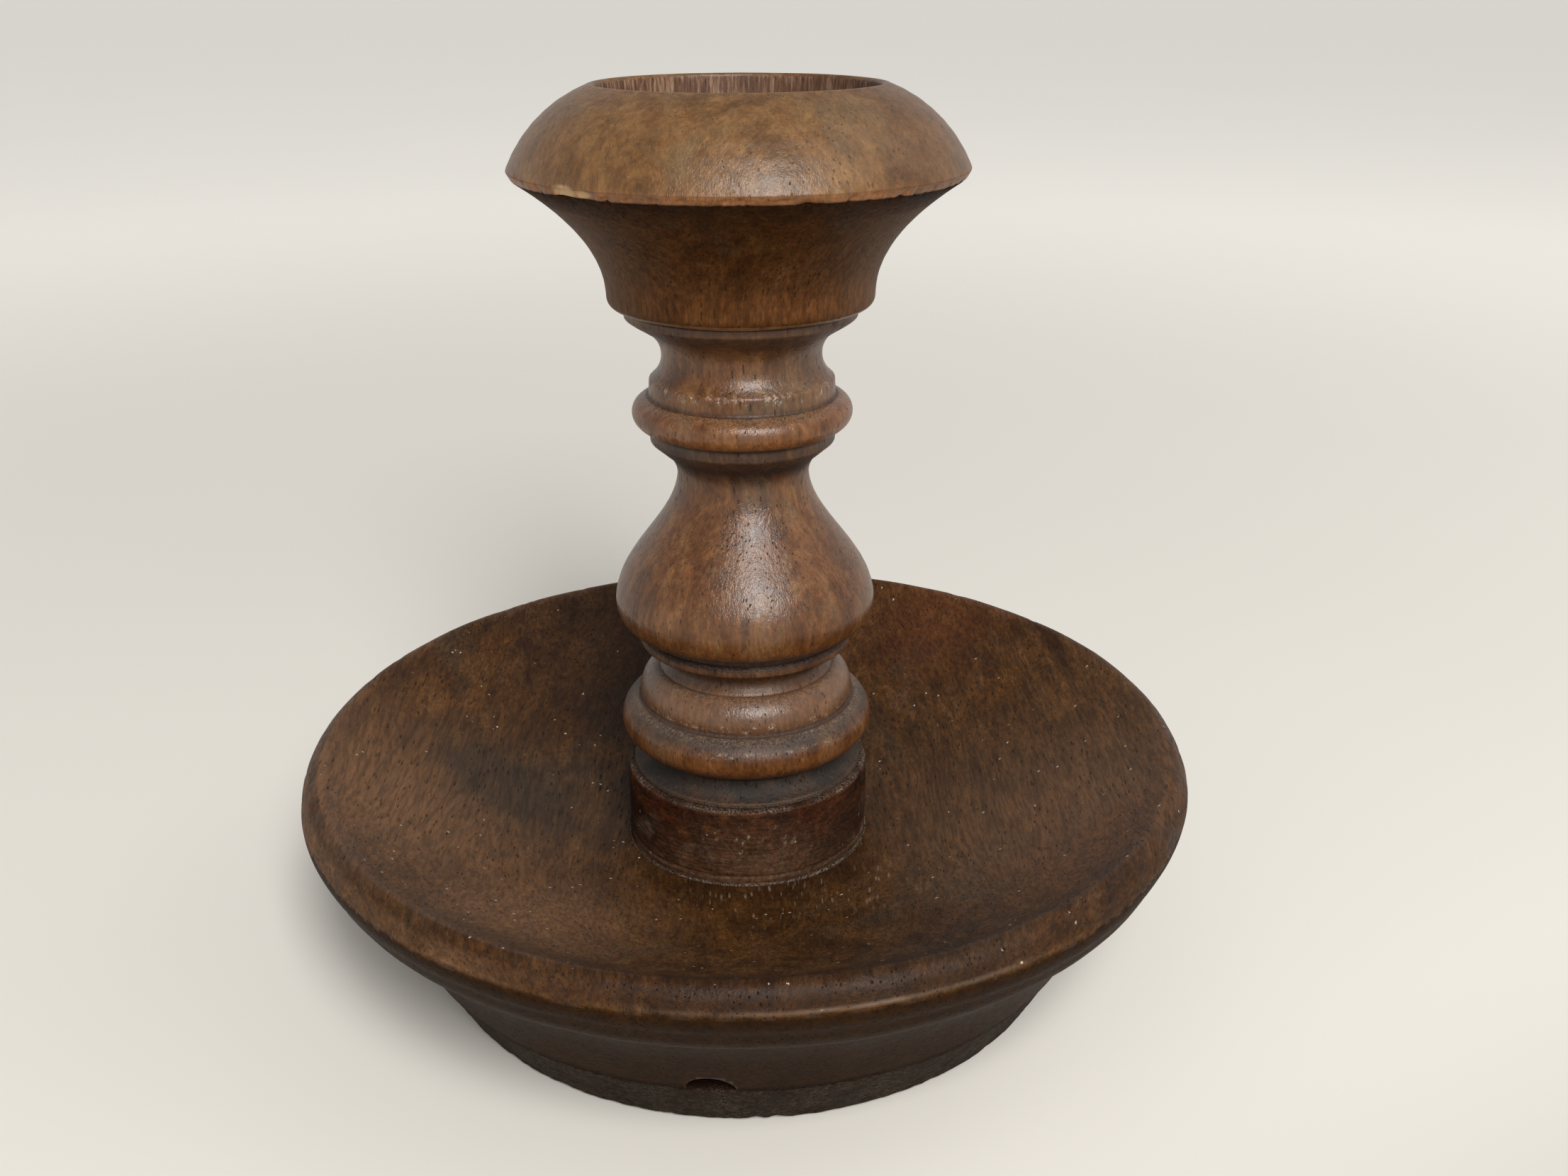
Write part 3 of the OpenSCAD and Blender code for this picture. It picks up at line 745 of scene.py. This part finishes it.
def wood(name, grain, dark, mid, light, warm, seed, *, pore=1.0, grey=srgb(96, 84, 70), gloss=0.42,
         blotch=9.0, extra=None, warm_edge=srgb(150, 92, 48), grime_and_shade_colour=srgb(30, 13, 6), spec=0.45,
         contrast=0.18, specks=0.0, relief=0.0003, warmth=0.40, patches=10.0,
         shares=(0.36, 0.34, 0.24)):
    """Stained and varnished hardwood, worked out in the solid: growth bands, fibre and pores run
    along the grain axis, so each face shows them as a real cut would. Sizes are in mm, but for relief,
    which is in metres. shares weighs blotches, middling patches and growth bands in the tone. extra
    changes the state further before the dust and the painted glints go on."""
    g = Graph(name)
    shift = g.vector("ADD", g.millimetres(), (seed * 37.1, seed * 19.7, seed * 53.3))
    long = {"Z": lambda k: (1, 1, k), "Y": lambda k: (1, k, 1)}[grain]

    # a slow bend in the grain, so that the lines aren't ruled
    bend = g.node("ShaderNodeTexNoise", {"Vector": g.scale(shift, long(0.25)), "Scale": 0.05, "Detail": 1.0})
    drift = g.scale(g.vector("SUBTRACT", bend.outputs["Color"], (0.5, 0.5, 0.5)), (9, 9, 9))
    bent = g.vector("ADD", shift, drift)

    blotches = g.noise(g.scale(bent, long(0.6)), 1 / blotch, 4.0, 0.68, 0.4)
    middle = g.noise(g.scale(bent, long(0.45)), 0.30, 4.0, 0.70, 0.3)
    bands = g.noise(g.scale(bent, long(0.035)), 0.30, 2.0, 0.55)
    fibre = g.noise(g.scale(bent, long(0.10)), 1.15, 3.0, 0.70)
    fine = g.noise(g.scale(bent, long(0.16)), 4.0, 2.0, 0.6)
    mottle = g.noise(g.scale(bent, long(0.6)), 0.95, 3.0, 0.75)

    # broad colour first: stain taken up unevenly
    tone = g.mul(g.step(blotches, 0.34, 0.66), shares[0])
    tone = g.add(tone, g.mul(g.step(middle, 0.34, 0.66), shares[1]))
    tone = g.add(tone, g.mul(g.step(bands, 0.36, 0.64), shares[2]))
    base = g.colours(tone, (0.05, dark), (0.47, mid), (0.92, light))
    warm_patch = g.step(g.noise(g.scale(shift, long(0.6)), 1 / patches, 4.0, 0.7, 0.6), 0.50, 0.68)
    base = g.mix(g.mul(warm_patch, warmth), base, warm)
    grey_patch = g.step(g.noise(g.scale(shift, long(0.7)), 0.6 / patches, 4.0, 0.65, 0.5), 0.50, 0.68)
    base = g.mix(g.mul(grey_patch, 0.45), base, grey)

    # then fibre and fine mottling, as a share of that colour
    streaks = g.step(fibre, 0.32, 0.68, 1 - contrast, 1 + contrast)
    flecks = g.step(mottle, 0.32, 0.68, 1 - 0.8 * contrast, 1 + 0.8 * contrast)
    threads = g.step(fine, 0.30, 0.70, 1 - 0.8 * contrast, 1 + 0.6 * contrast)
    base = g.scale(base, g.mul(g.mul(streaks, flecks), threads))

    # pores: short dark dashes along the grain
    pore_cells = g.cells(g.scale(bent, long(0.16)), 1.15)
    pore_hole = g.step(pore_cells.outputs["Distance"], 0.23, 0.10)
    some = g.step(pore_cells.outputs["Color"], 0.40, 0.44)
    pore_area = g.step(g.noise(g.scale(shift, long(0.4)), 0.11, 2.0), 0.36, 0.60)
    pore_hole = g.mul(g.mul(pore_hole, some), g.add(g.mul(pore_area, 0.7), 0.3))
    pore_hole = g.mul(pore_hole, pore)
    base = g.mix(g.mul(pore_hole, 0.50), base, tuple(c * 0.30 for c in dark))

    # worn edges, with dark handling marks on them, and grime and painted shade in the hollows
    patchy = g.step(g.noise(g.scale(shift, long(0.5)), 0.9, 4.0, 0.75), 0.36, 0.66)
    worn = g.math("MULTIPLY", g.mask("wear"), g.add(g.mul(patchy, 0.8), 0.45), clamp=True)
    base = g.mix(g.mul(worn, 0.8), base, g.scale(g.rgb(warm_edge), g.mul(streaks, flecks)))
    dirt_spot = g.step(g.noise(g.scale(shift, long(0.45)), 1.2, 3.0, 0.7), 0.56, 0.70)
    base = g.mix(g.mul(g.mul(worn, dirt_spot), 0.75), base, tuple(c * 0.45 for c in dark))
    grime_and_shade_amount = g.math("MULTIPLY", g.mask("grime_and_shade"), g.add(g.mul(patchy, 0.35), 0.75), clamp=True)
    base = g.mix(g.mul(grime_and_shade_amount, 0.88), base, grime_and_shade_colour)

    height = g.add(g.mul(pore_hole, -1.3), g.mul(fine, 0.10))
    height = g.add(height, g.mul(fibre, 0.34))
    height = g.add(height, g.mul(mottle, 0.42))
    rough = g.add(g.mul(blotches, 0.14), gloss - 0.06)
    rough = g.add(rough, g.mul(pore_hole, 0.35))
    rough = g.add(rough, g.mul(grime_and_shade_amount, 0.3))
    rough = g.add(rough, g.mul(patchy, 0.06))
    state = {"g": g, "base": base, "shift": shift, "bent": bent, "patchy": patchy, "streaks": streaks,
             "middle": middle, "rough": rough, "height": height}
    if extra:
        extra(state)
    # pale dust and painted glints where their mask allows, and a few stray grains
    held = g.mul(g.mask("dust_and_glint"), g.step(g.noise(shift, 2.3, 3.0, 0.7), 0.44, 0.60))
    pale = g.mul(held, 0.85)
    if specks:
        grains = g.cells(g.vector("ADD", shift, g.noise(shift, 2.6, 2.0, 0.5)), 0.9)
        picked = g.node("ShaderNodeSeparateColor", {"Color": grains.outputs["Color"]}).outputs[1]
        strays = g.mul(g.step(picked, 0.982, 0.988), g.step(grains.outputs["Distance"], 0.32, 0.16))
        pale = g.math("MAXIMUM", pale, g.mul(strays, specks))
    base = g.mix(g.mul(pale, 0.88), state["base"], srgb(186, 174, 156))
    rough = g.add(state["rough"], g.mul(pale, 0.3))
    bump = g.node("ShaderNodeBump", {"Strength": 1.0, "Distance": relief, "Height": state["height"]})
    shader = g.node("ShaderNodeBsdfPrincipled", {"Base Color": base, "Roughness": rough,
                                                 "Normal": bump.outputs[0]})
    shader.inputs["Specular IOR Level"].default_value = spec
    g.node("ShaderNodeOutputMaterial", {"Surface": shader.outputs[0]})
    return g.material


def tint(s, mask, share, colour, streaky=True):
    """Mixes a colour in where the mask is set. A streaky one shows the wood's fibre."""
    g = s["g"]
    if isinstance(mask, str):
        mask = g.mask(mask)
    if streaky:
        colour = g.scale(g.rgb(colour), s["streaks"])
    s["base"] = g.mix(g.mul(mask, share), s["base"], colour)


def cup_extra(s):
    g = s["g"]
    tint(s, "chip", 0.9, srgb(190, 154, 108), streaky=False)
    # the bore's wall: bare torn grain, light and dark streaks down it
    bore = g.mask("special")
    streak = g.noise(g.scale(s["shift"], (1, 1, 0.07)), 1.6, 3.0, 0.7)
    bare = g.colours(streak, (0.30, srgb(48, 28, 18)), (0.52, srgb(102, 70, 50)),
                     (0.74, srgb(172, 144, 118)))
    tint(s, bore, 0.9, bare, streaky=False)
    s["rough"] = g.add(s["rough"], g.mul(bore, 0.2))
    # painted shade: the collar darker on its right side
    tint(s, "right", 0.30, srgb(66, 37, 14))


def cove_extra(s):
    # painted reflection: the cove's sides paler and greyer
    tint(s, "side", 0.45, srgb(104, 78, 56))


def stem_extra(s):
    g = s["g"]
    soot = g.mask("soot")
    crust = g.noise(s["shift"], 1.3, 4.0, 0.75)
    dirt = g.colours(crust, (0.38, srgb(9, 6, 4)), (0.60, srgb(29, 23, 16)), (0.80, srgb(90, 78, 62)))
    tint(s, soot, 0.92, dirt, streaky=False)
    s["rough"] = g.add(s["rough"], g.mul(soot, 0.3))
    s["height"] = g.add(s["height"], g.mul(crust, soot))
    tint(s, "special", 0.5, srgb(110, 84, 66))


def hub_extra(s):
    g = s["g"]
    grey = g.mul(g.mask("special"), g.add(g.mul(s["patchy"], 0.5), 0.45))
    tint(s, grey, 0.85, srgb(98, 74, 54))
    lines = g.noise(g.scale(s["shift"], (0.12, 0.12, 1.6)), 1.5, 3.0, 0.7)
    s["base"] = g.scale(s["base"], g.step(lines, 0.32, 0.68, 0.72, 1.30))
    tint(s, "stain", 0.75, srgb(24, 16, 11))
    s["height"] = g.add(s["height"], g.mul(lines, 0.4))


def dish_extra(s):
    g = s["g"]
    # painted light on the bowl's left and right walls
    tint(s, "pale", 0.54, srgb(126, 91, 63))
    tint(s, "red", 0.50, srgb(84, 44, 20))
    tint(s, "stain", 0.75, srgb(46, 38, 30))
    # painted shadow behind the stem, and painted shade along the front of the crest
    tint(s, "dark", 0.60, srgb(34, 17, 7))
    # painted shade round the foot of the hub
    tint(s, "special", 0.45, srgb(38, 21, 11))
    # painted soft highlight along the crest
    tint(s, "crest", 0.45, srgb(108, 80, 60))
    # pale dust packed in the pores in front of the hub
    cells = g.cells(g.scale(s["bent"], (1, 0.15, 0.15)), 1.15)
    dash = g.step(cells.outputs["Distance"], 0.34, 0.14)
    dash = g.mul(dash, g.step(cells.outputs["Color"], 0.40, 0.50))
    tint(s, g.mul(dash, g.mask("dusty")), 0.70, srgb(150, 138, 118), streaky=False)
    # painted glint along the front of the lip's edge
    tint(s, "rub", 0.60, srgb(160, 138, 118), streaky=False)
    # painted shade on the underside, with some dirt
    tint(s, "under", 0.85, srgb(31, 17, 5))
    # painted reflection along the step
    tint(s, "step", 0.45, srgb(84, 72, 60), streaky=False)
    # grime and painted shade: sheltered corners and the shadow line under the skirt
    tint(s, "grime_and_shade", 0.6, srgb(12, 7, 4), streaky=False)
    s["height"] = g.add(s["height"], g.mul(s["middle"], 0.2))
    s["rough"] = g.add(s["rough"], g.mul(g.mask("wear"), 0.22))


def foot_extra(s):
    g = s["g"]
    scratch = g.noise(g.scale(s["shift"], (1, 1, 2.0)), 0.75, 4.0, 0.80)
    dull = g.colours(scratch, (0.34, srgb(12, 8, 5)), (0.52, srgb(34, 24, 16)), (0.70, srgb(78, 62, 46)))
    tint(s, "special", 0.8, dull, streaky=False)
    s["height"] = g.add(s["height"], scratch)


# each wood's dark, middle, light and warm tones, and its seed
CUP = (srgb(78, 51, 24), srgb(100, 69, 36), srgb(119, 86, 50), srgb(115, 73, 34), 1)
STEM = (srgb(60, 32, 10), srgb(90, 55, 26), srgb(113, 77, 44), srgb(104, 57, 24), 2)
HUB = (srgb(22, 6, 1), srgb(46, 19, 5), srgb(76, 41, 18), srgb(70, 27, 6), 3)
DISH = (srgb(42, 21, 4), srgb(62, 37, 11), srgb(80, 52, 26), srgb(86, 52, 16), 4)
FOOT = (srgb(18, 11, 5), srgb(31, 20, 11), srgb(48, 34, 22), srgb(40, 24, 12), 5)
# the cove under the collar gets a darker copy of the cup's tones: painted shade
COVE_SHADE = (0.46, 0.37, 0.30)
COVE = tuple(tuple(c * k for c, k in zip(tone, COVE_SHADE)) for tone in CUP[:4]) + (1,)
cup_wood = wood("cup_wood", "Z", *CUP, extra=cup_extra, grey=srgb(102, 84, 58), gloss=0.36,
                contrast=0.15, pore=0.6, warmth=0.35)
cup_cove = wood("cup_cove", "Z", *COVE, extra=cove_extra, gloss=0.5, spec=0.08, grey=srgb(62, 50, 36),
                warm_edge=srgb(120, 74, 42), grime_and_shade_colour=srgb(10, 2, 0), contrast=0.26)
stem_wood = wood("stem_wood", "Z", *STEM, extra=stem_extra, grey=srgb(94, 77, 58), gloss=0.30,
                 contrast=0.19, warm_edge=srgb(136, 84, 45), grime_and_shade_colour=srgb(26, 4, 0), warmth=0.28,
                 spec=0.50)
hub_wood = wood("hub_wood", "Y", *HUB, extra=hub_extra, gloss=0.62, pore=0.8, spec=0.12, specks=0.9,
                contrast=0.30)
dish_wood = wood("dish_wood", "Y", *DISH, extra=dish_extra, grey=srgb(54, 46, 34), gloss=0.46,
                 blotch=10.0, warm_edge=srgb(60, 35, 9), spec=0.18, specks=1.0, contrast=0.34,
                 warmth=0.45, patches=20.0, relief=0.0004, shares=(0.46, 0.14, 0.34))
# the underside: a matte copy of the dish's wood, its darker colour partly painted shade
dish_under = wood("dish_under", "Y", *DISH, extra=dish_extra, grey=srgb(40, 30, 20), gloss=0.52,
                  blotch=10.0, warm_edge=srgb(76, 47, 22), spec=0.05, contrast=0.28)
foot_wood = wood("foot_wood", "Y", *FOOT, extra=foot_extra, grey=srgb(46, 38, 30), gloss=0.66, pore=0.6,
                 spec=0.06, contrast=0.25)


def second_material(piece, material, mask, level=0.5):
    """Gives the faces where the mask is above that level a second material."""
    mesh = piece.data
    mesh.materials.append(material)
    values = np.empty(len(mesh.vertices), np.float32)
    mesh.attributes[mask].data.foreach_get("value", values)
    for f in mesh.polygons:
        if values[f.vertices[0]] > level:
            f.material_index = 1


for piece, material, slot in ((cup, cup_wood, "wood_cup"), (stem, stem_wood, "wood_stem"),
                              (hub, hub_wood, "wood_hub"), (dish, dish_wood, "wood_dish"),
                              (foot, foot_wood, "wood_foot")):
    piece.data.materials.clear()
    piece.data.materials.append(material)
second_material(cup, cup_cove, "under")
second_material(dish, dish_under, "under")


def steel():
    """Dull plain steel with fine turning lines and a few brown spots, for the screw and its washer."""
    g = Graph("dull_steel")
    mm = g.millimetres()
    cloud = g.noise(mm, 0.5, 4.0, 0.6)
    lines = g.noise(g.scale(mm, (0.4, 0.4, 6)), 2.0, 2.0)
    rust = g.step(g.noise(mm, 0.35, 4.0, 0.7), 0.56, 0.70)
    base = g.colours(cloud, (0.3, (0.20, 0.195, 0.19)), (0.7, (0.38, 0.37, 0.355)))
    base = g.mix(g.mul(rust, 0.8), base, srgb(96, 56, 30))
    rough = g.add(g.mul(cloud, 0.25), 0.28)
    rough = g.add(rough, g.mul(rust, 0.35))
    height = g.add(g.mul(lines, 0.5), g.mul(rust, 0.6))
    metal = g.math("SUBTRACT", 1.0, g.mul(rust, 0.9))
    bump = g.node("ShaderNodeBump", {"Strength": 0.5, "Distance": 0.0001, "Height": height})
    shader = g.node("ShaderNodeBsdfPrincipled", {"Base Color": base, "Roughness": rough, "Metallic": metal,
                                                 "Normal": bump.outputs[0]})
    g.node("ShaderNodeOutputMaterial", {"Surface": shader.outputs[0]})
    return g.material


steel_material = steel()
for n in ("stem_screw", "screw_washer"):
    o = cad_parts[n]
    o.data.materials.clear()
    o.data.materials.append(steel_material)


# ---------------------------------------------------------------- floor, light, camera

FLOOR_HALF = 40.0    # metres


def floor_plane():
    """A pale matt floor. It glows a little far away, where the lamps don't reach, and it is greyer
    just in front of the object, a painted shadow, so that less light comes up from it there."""
    bm = bmesh.new()
    bmesh.ops.create_grid(bm, x_segments=8, y_segments=8, size=FLOOR_HALF)
    mesh = bpy.data.meshes.new("floor")
    bm.to_mesh(mesh)
    bm.free()
    floor = bpy.data.objects.new("floor", mesh)
    bpy.context.scene.collection.objects.link(floor)
    g = Graph("pale_floor")
    place = g.node("ShaderNodeTexCoord").outputs["Object"]
    cloud = g.noise(place, 3.0, 2.0)
    base = g.mix(cloud, srgb(222, 219, 211), srgb(228, 224, 216))
    away = g.node("ShaderNodeVectorMath", {0: place}, operation="LENGTH").outputs["Value"]
    axes = g.node("ShaderNodeSeparateXYZ", {0: place})
    # painted shadow on the floor just in front of the object
    front = g.step(g.add(axes.outputs[1], g.mul(axes.outputs[0], -0.5)), -0.10, -0.30)
    dim = g.math("SUBTRACT", 1.0, g.mul(front, g.step(away, 2.4, 1.4)))
    front = g.mul(front, g.step(away, 0.95, 0.50))
    base = g.mix(g.mul(front, 0.62), base, srgb(116, 112, 106))
    glow = g.mul(g.step(away, 0.15, 1.3, 0.0, 0.40), dim)
    shader = g.node("ShaderNodeBsdfPrincipled", {"Base Color": base, "Roughness": 0.6})
    g.put(shader.inputs["Emission Color"], srgb(242, 239, 232))
    g.put(shader.inputs["Emission Strength"], glow)
    shader.inputs["Specular IOR Level"].default_value = 0.25
    g.node("ShaderNodeOutputMaterial", {"Surface": shader.outputs[0]})
    floor.data.materials.append(g.material)


floor_plane()


def soft_light(name, azimuth, elevation, distance, width, height, power, colour):
    """A soft box aimed at the middle of the object. Azimuth is counted from the front, towards +X."""
    a, e = math.radians(azimuth - 90), math.radians(elevation)
    target = Vector((0, 0, 0.10))
    towards = Vector((math.cos(a) * math.cos(e), math.sin(a) * math.cos(e), math.sin(e)))
    place = target + distance * towards
    data = bpy.data.lights.new(name, "AREA")
    data.shape = "RECTANGLE"
    data.size, data.size_y = width, height
    data.energy = power
    data.color = colour
    light = bpy.data.objects.new(name, data)
    aim = (target - place).to_track_quat("-Z", "Y").to_matrix().to_4x4()
    light.matrix_world = Matrix.Translation(place) @ aim
    bpy.context.scene.collection.objects.link(light)


soft_light("key", 15, 42, 1.5, 0.42, 0.75, 25, (1.0, 0.98, 0.96))
soft_light("side", 100, 48, 1.6, 0.9, 0.9, 3, (1.0, 0.98, 0.95))

# the room: brighter round the horizon than overhead
world = bpy.data.worlds.new("pale_room")
bpy.context.scene.world = world
world.use_nodes = True
w = Graph("world", world.node_tree)
facing = w.node("ShaderNodeTexCoord").outputs["Generated"]
height = w.node("ShaderNodeSeparateXYZ", {0: facing}).outputs[2]
sky = w.colours(height, (0.0, (0.78, 0.77, 0.75)), (0.18, (0.70, 0.69, 0.67)),
                (0.6, (0.34, 0.34, 0.34)), (1.0, (0.30, 0.30, 0.30)))
background = w.node("ShaderNodeBackground", {"Color": sky, "Strength": 1.0})
w.node("ShaderNodeOutputWorld", {"Surface": background.outputs[0]})

bpy.context.scene.view_settings.view_transform = "Standard"
bpy.context.scene.view_settings.look = "None"

IMAGE_WIDTH = 2212        # pixels
FOCAL_LENGTH = 2129       # pixels
SENSOR = 36.0             # mm
YAW, PITCH, ROLL = math.radians(1.60), math.radians(22.34), math.radians(0.17)
CAMERA_PLACE = Vector((0, -3.128, 2.143)) * DISH_R * MM

camera_data = bpy.data.cameras.new("camera")
camera_data.sensor_fit = "HORIZONTAL"
camera_data.sensor_width = SENSOR
camera_data.lens = SENSOR * FOCAL_LENGTH / IMAGE_WIDTH
camera_data.clip_start = 0.01
camera = bpy.data.objects.new("camera", camera_data)
bpy.context.scene.collection.objects.link(camera)
ahead = Vector((math.sin(YAW) * math.cos(PITCH), math.cos(YAW) * math.cos(PITCH), -math.sin(PITCH)))
right = Vector((math.cos(YAW), -math.sin(YAW), 0))
up = right.cross(ahead)
right, up = (right * math.cos(ROLL) - up * math.sin(ROLL), up * math.cos(ROLL) + right * math.sin(ROLL))
turn = Matrix((right, up, -ahead)).transposed().to_4x4()
camera.matrix_world = Matrix.Translation(CAMERA_PLACE) @ turn
bpy.context.scene.camera = camera
